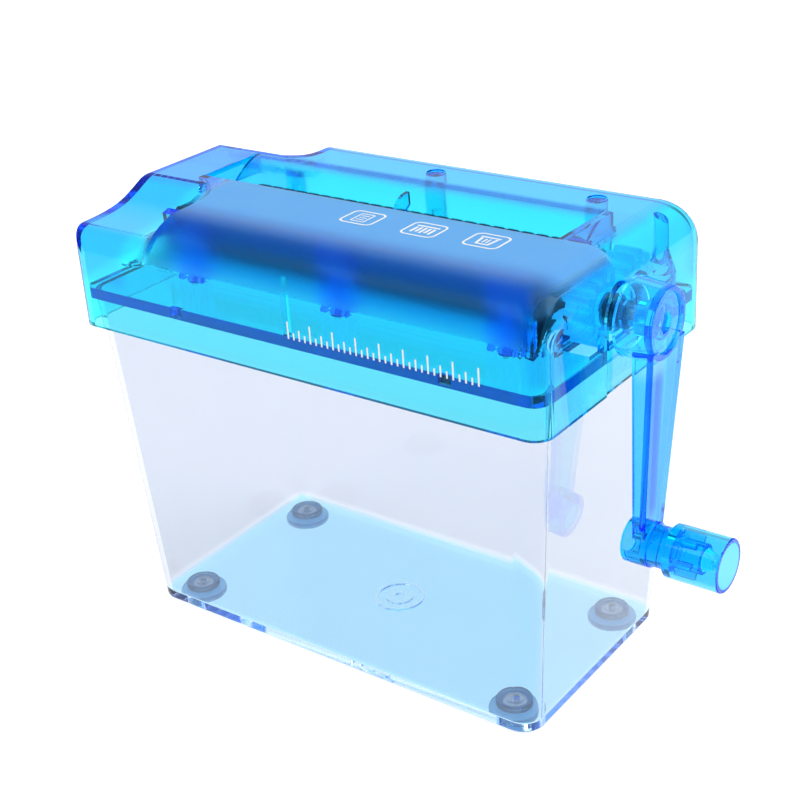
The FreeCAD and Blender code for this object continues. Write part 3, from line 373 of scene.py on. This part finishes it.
def comb_plastic(name):
    """Milky blue plastic of the combs, black along the edge next to the discs; below that edge it glows a little with
    painted light.
    """
    b = Build(name)
    below = b.step(b.axis("Z"), 120.2, 118.6)
    b.set("Base Color", b.mix(below, (0.004, 0.016, 0.05), b.mix(b.noise(6.0, 4.0), (0.26, 0.66, 1.0), (0.32, 0.72, 1.0))))
    b.set("Transmission Weight", 0.35)
    b.set("IOR", 1.42)
    b.set("Specular Tint", (0.15, 0.40, 1.0, 1.0))
    # painted light: the comb's lower part glows
    b.set("Emission Color", (0.14, 0.55, 1.0, 1.0))
    b.set("Emission Strength", b.mix(below, 0.0, 0.42))
    b.set("Roughness", b.range(b.noise(3.0, 4.0), 0.25, 0.38))
    b.bump(b.noise(0.8, 3.0), 0.1, 0.05)
    return b.mat


def clear_plastic(name):
    """Clear polystyrene with a trace of lavender, a little wavy, with faint flow marks; its floor painted bluer and
    glowing faintly, painted light for the blue light falling through the head.
    """
    b = Build(name)
    b.set("Transmission Weight", 1.0)
    b.set("IOR", 1.42)
    wall = b.mix(b.noise(30.0), (0.755, 0.785, 0.85), (0.775, 0.805, 0.865))
    wall = b.mix(b.step(b.axis("Z"), 5.0, 2.5), wall, (0.93, 0.955, 0.985))
    # painted light: the floor's blue tint stands for the light falling through the blue head
    floor = b.mix(b.noise(24.0), (0.50, 0.90, 1.0), (0.54, 0.93, 1.0))
    across = b.step(b.math("ABSOLUTE", b.axis("X")), 74.4, 73.6)
    along = b.step(b.math("ABSOLUTE", b.axis("Y")), 38.4, 37.6)
    low = b.math("MULTIPLY", b.math("MULTIPLY", across, along), b.step(b.axis("Z"), 3.6, 2.4))
    b.set("Base Color", b.mix(low, wall, floor))
    # painted light: the floor glows faintly
    b.set("Emission Color", (0.05, 0.25, 1.0, 1.0))
    b.set("Emission Strength", b.mix(low, 0.0, 0.06))
    b.set("Roughness", b.range(b.noise(12.0, 4.0, 0.6), 0.01, 0.045))
    b.bump(b.noise(26.0, 2.0), 0.05, 0.5)
    b.absorb((0.45, 0.62, 0.85), 6.0)
    return b.mat


def rubber(name):
    b = Build(name)
    b.set("Base Color", b.mix(b.noise(3.0, 5.0, 0.65), (0.46, 0.66, 0.86), (0.56, 0.75, 0.93)))
    b.set("Transmission Weight", 0.75)
    b.set("IOR", 1.45)
    b.set("Roughness", b.range(b.noise(1.2, 3.0), 0.16, 0.26))
    b.bump(b.noise(0.35, 3.0), 0.15, 0.05)
    return b.mat


def dark_plastic(name, low, high, end=None):
    """Dark plastic. end is the colour of the pieces right of the last disc."""
    b = Build(name)
    colour = b.mix(b.noise(4.0, 4.0), low, high)
    if end:
        colour = b.mix(b.step(b.axis("X"), 60.7, 61.1), colour, end)
    b.set("Base Color", colour)
    b.set("Roughness", b.range(b.noise(1.5, 4.0), 0.3, 0.46))
    b.bump(b.noise(0.3, 3.0), 0.2, 0.04)
    return b.mat


def steel(name, low, high, rough, stretch=(0.04, 1, 1), edge=(1.0, 1.0, 1.0)):
    """Steel with the lines of its drawing or grinding; stretch is short along the lines, edge tints low glances."""
    b = Build(name)
    lines = b.noise(0.35, 4.0, 0.7, stretch)
    b.set("Metallic", 1.0)
    b.set("Specular Tint", (*edge, 1.0))
    b.set("Base Color", b.mix(b.noise(6.0, 4.0), low, high))
    b.set("Roughness", b.range(lines, rough - 0.08, rough + 0.12))
    b.bump(lines, 0.25, 0.03)
    return b.mat


def gear_plastic(name):
    b = Build(name)
    b.set("Base Color", b.mix(b.noise(5.0, 4.0), (0.20, 0.80, 1.0), (0.28, 0.86, 1.0)))
    b.set("Transmission Weight", 0.2)
    # painted light: the gear glows a little
    b.set("Emission Color", (0.11, 0.72, 1.0, 1.0))
    b.set("Emission Strength", 0.36)
    b.set("IOR", 1.45)
    b.set("Roughness", b.range(b.noise(2.0, 4.0), 0.22, 0.36))
    b.bump(b.noise(0.8, 3.0), 0.1, 0.05)
    return b.mat


def print_white(name):
    b = Build(name)
    b.set("Base Color", b.mix(b.noise(1.4, 5.0, 0.7), (0.88, 0.89, 0.90), (0.96, 0.96, 0.96)))
    b.set("Roughness", b.range(b.noise(0.6, 3.0), 0.4, 0.6))
    b.bump(b.noise(0.25, 2.0), 0.2, 0.02)
    return b.mat


finish = {
    "bin_clear": clear_plastic("clear_polystyrene"),
    "foot_rubber": rubber("grey_rubber"),
    "cover_blue": cover_plastic("cover_polystyrene"),
    "tray_blue": tray_plastic("tray_polystyrene"),
    "comb_blue": comb_plastic("comb_polystyrene"),
    "crank_blue": crank_plastic("crank_polystyrene"),
    "gear_blue": gear_plastic("gear_nylon"),
    "black_plastic": dark_plastic("black_acetal", (0.006, 0.006, 0.009), (0.016, 0.016, 0.02)),
    "spacer_plastic": dark_plastic("spacer_black", (0.008, 0.008, 0.014), (0.02, 0.02, 0.03), (0.55, 0.56, 0.58)),
    "cutter_steel": steel("blued_steel", (0.014, 0.017, 0.030), (0.028, 0.032, 0.055), 0.34, (1, 0.3, 0.3), (0.04, 0.10, 0.35)),
    "shaft_steel": steel("drawn_steel", (0.55, 0.55, 0.56), (0.66, 0.66, 0.67), 0.25),
    "clip_steel": steel("spring_steel", (0.20, 0.20, 0.22), (0.3, 0.3, 0.32), 0.3, (1, 1, 0.2)),
    "screw_steel": steel("zinc_plate", (0.56, 0.68, 0.90), (0.64, 0.75, 0.96), 0.36, (1, 1, 0.3)),
}
white = print_white("white_print")

slot_of = {s["node"]: s["material_slot"] for s in frame["record"]["subparts"]}
for name, o in nodes.items():
    o.data.materials.clear()
    o.data.materials.append(finish[slot_of[name]])
# the crank bush is black inside the head, and its nose lets the shaft show through
nose = Build("bush_acetal")
clear = nose.step(nose.axis("X"), 85.0, 85.1)
nose.set("Base Color", nose.mix(clear, nose.mix(nose.noise(4.0), (0.006, 0.006, 0.009), (0.016, 0.016, 0.02)), (0.62, 0.86, 1.0)))
nose.set("Transmission Weight", clear)
nose.set("IOR", 1.42)
nose.set("Roughness", nose.mix(clear, 0.38, 0.05))
nodes["crank_bush"].data.materials[0] = nose.mat
# the knob's wall is thinner and paler than the crank's, and the left end plate paler than the tray it stands in
nodes["knob"].data.materials[0] = close(
    blue_plastic("knob_polystyrene", 450.0, (0.05, 0.88, 0.998), (0.40, 0.79, 1.0))
)
nodes["left_end_plate"].data.materials[0] = close(
    blue_plastic("left_plate_polystyrene", 120.0, (0.05, 0.92, 0.998), (0.75, 0.96, 1.0))
)


# ------------------------------------------------------------------ printing on the cover
def rounded_rect(w, h, r, seg=6):
    pts = []
    for cx, cy, a0 in ((w / 2 - r, h / 2 - r, 0), (-w / 2 + r, h / 2 - r, 90), (-w / 2 + r, -h / 2 + r, 180), (w / 2 - r, -h / 2 + r, 270)):
        for k in range(seg + 1):
            a = math.radians(a0 + 90.0 * k / seg)
            pts.append((cx + r * math.cos(a), cy + r * math.sin(a)))
    return pts


def ring(bm, outer, inner, place, thick):
    """A flat band between two outlines with the same number of points."""
    n = len(outer)
    rows = [[bm.verts.new(place(x, y, z)) for x, y in loop] for z in (0.0, thick) for loop in (outer, inner)]
    lo_out, lo_in, hi_out, hi_in = rows
    for k in range(n):
        j = (k + 1) % n
        bm.faces.new((hi_out[k], hi_out[j], hi_in[j], hi_in[k]))
        bm.faces.new((lo_out[j], lo_out[k], lo_in[k], lo_in[j]))
        bm.faces.new((lo_out[k], lo_out[j], hi_out[j], hi_out[k]))
        bm.faces.new((lo_in[j], lo_in[k], hi_in[k], hi_in[j]))


def patch(bm, loop, place, thick):
    """A flat filled outline."""
    low = [bm.verts.new(place(x, y, 0.0)) for x, y in loop]
    high = [bm.verts.new(place(x, y, thick)) for x, y in loop]
    n = len(loop)
    bm.faces.new(high)
    bm.faces.new(low[::-1])
    for k in range(n):
        j = (k + 1) % n
        bm.faces.new((low[k], low[j], high[j], high[k]))


def printed(name, draw):
    bm = bmesh.new()
    draw(bm)
    bmesh.ops.recalc_face_normals(bm, faces=bm.faces)
    mesh = bpy.data.meshes.new(name)
    bm.to_mesh(mesh)
    bm.free()
    mesh.materials.append(white)
    o = bpy.data.objects.new(name, mesh)
    scene.collection.objects.link(o)
    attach(o, "head")
    return o


INK = 0.06


def bar(w, h, x, y, r=0.2):
    return [(px + x, py + y) for px, py in rounded_rect(w, h, r, 3)]


def icon(kind, cx, cy):
    def place(x, y, z):
        return at(cx + x, cy + y, 140.4 + 0.012 + z)

    def draw(bm):
        ring(bm, rounded_rect(11.6, 10.2, 2.2), rounded_rect(10.4, 9.0, 1.7), place, INK)
        if kind == "sheet":
            ring(bm, rounded_rect(5.0, 6.4, 0.5), rounded_rect(4.1, 5.5, 0.25), place, INK)
            for k in range(3):
                patch(bm, bar(2.8, 0.45, 0.0, 1.5 - 1.5 * k), place, INK)
        elif kind == "strips":
            patch(bm, bar(7.6, 0.8, 0.0, 2.4), place, INK)
            for k in range(5):
                patch(bm, bar(0.8, 4.2 - 0.5 * (k % 2), -3.0 + 1.5 * k, -0.7 + 0.25 * (k % 2)), place, INK)
        else:
            patch(bm, bar(6.6, 0.7, 0.0, 2.5), place, INK)
            patch(bm, [(-2.9, 1.8), (-2.2, -3.0), (2.2, -3.0), (2.9, 1.8), (2.1, 1.8), (1.55, -2.3), (-1.55, -2.3), (-2.1, 1.8)], place, INK)
            for k in range(2):
                patch(bm, bar(0.5, 2.9, -0.6 + 1.2 * k, -0.1), place, INK)

    return printed("print_" + kind, draw)


icon("sheet", 5.7, -13.0)
icon("strips", 27.5, -13.3)
icon("bin", 48.1, -12.9)


def ruler(bm):
    """Plain graduations for the width of the paper."""

    def place(x, y, z):
        return at(34.0 + x, -45.65 - 0.012 - z, 117.0 + y)

    for k in range(33):
        x = -32.0 + 2.0 * k
        tall = 5.4 if k % 4 == 0 else 3.4 if k % 2 == 0 else 2.2
        patch(bm, bar(0.55, tall, x, tall / 2 - 2.7, 0.2), place, INK)


printed("print_ruler", ruler)
